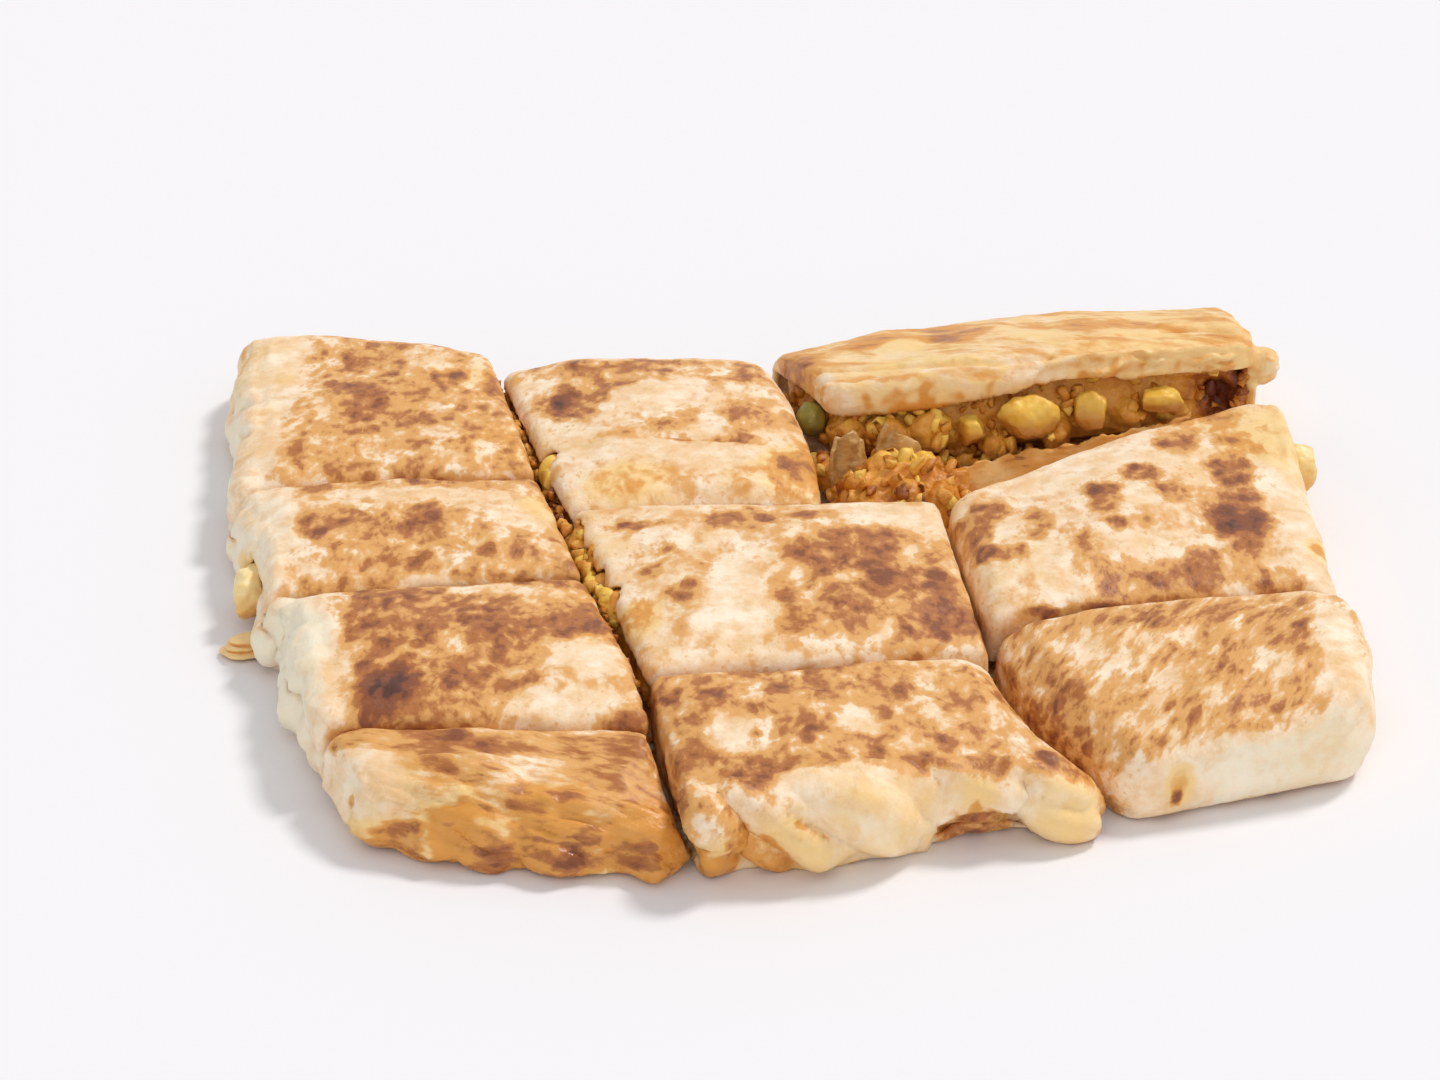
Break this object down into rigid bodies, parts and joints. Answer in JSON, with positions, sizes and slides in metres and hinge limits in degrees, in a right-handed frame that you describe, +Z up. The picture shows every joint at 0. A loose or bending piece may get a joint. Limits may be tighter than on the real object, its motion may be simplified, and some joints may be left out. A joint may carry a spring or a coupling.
{
  "type": "murtabak",
  "caption": "Flat stuffed flatbread parcel, griddled brown, cut into slices that keep the whole's shape, with egg, potato and onion filling showing at the cuts.",
  "frame": {"origin": "middle of the underside, on the surface that the food lies on", "axes": "+X to the right as pictured, along the longer side; +Y to the back, away from the front folded edge; +Z up"},
  "size_m": [0.2244, 0.2098, 0.025],
  "materials": {
    "dough": "griddled flatbread dough, cream with brown blisters",
    "filling": "moist egg and vegetable filling",
    "potato": "soft yellow potato and egg",
    "chilli": "cooked green chilli",
    "onion": "soft translucent onion"
  },
  "bodies": {
    "root": {"L1_dough": "dough", "L1_filling": "filling", "L2_dough": "dough", "L2_egg": "potato", "L2_filling": "filling", "L2_flap": "dough", "L3_dough": "dough", "L3_filling": "filling", "L4_dough": "dough", "L4_filling": "filling", "M1_dough": "dough", "M1_filling": "filling", "M2_base_dough": "dough", "M2_filling": "filling", "M2_top_dough": "dough", "M3_dough": "dough", "M3_filling": "filling", "R1_base_flap": "dough", "R1_chilli": "chilli", "R1_dough": "dough", "R1_filling": "filling", "R1_onion_1": "onion", "R1_onion_2": "onion", "R1_potato_1": "potato", "R1_potato_2": "potato", "R1_potato_3": "potato", "R1_potato_4": "potato", "R1_spilled_filling": "filling", "R2_dough": "dough", "R2_egg": "potato", "R2_filling": "filling", "R3_dough": "dough", "R3_filling": "filling"}
  },
  "joints": []
}
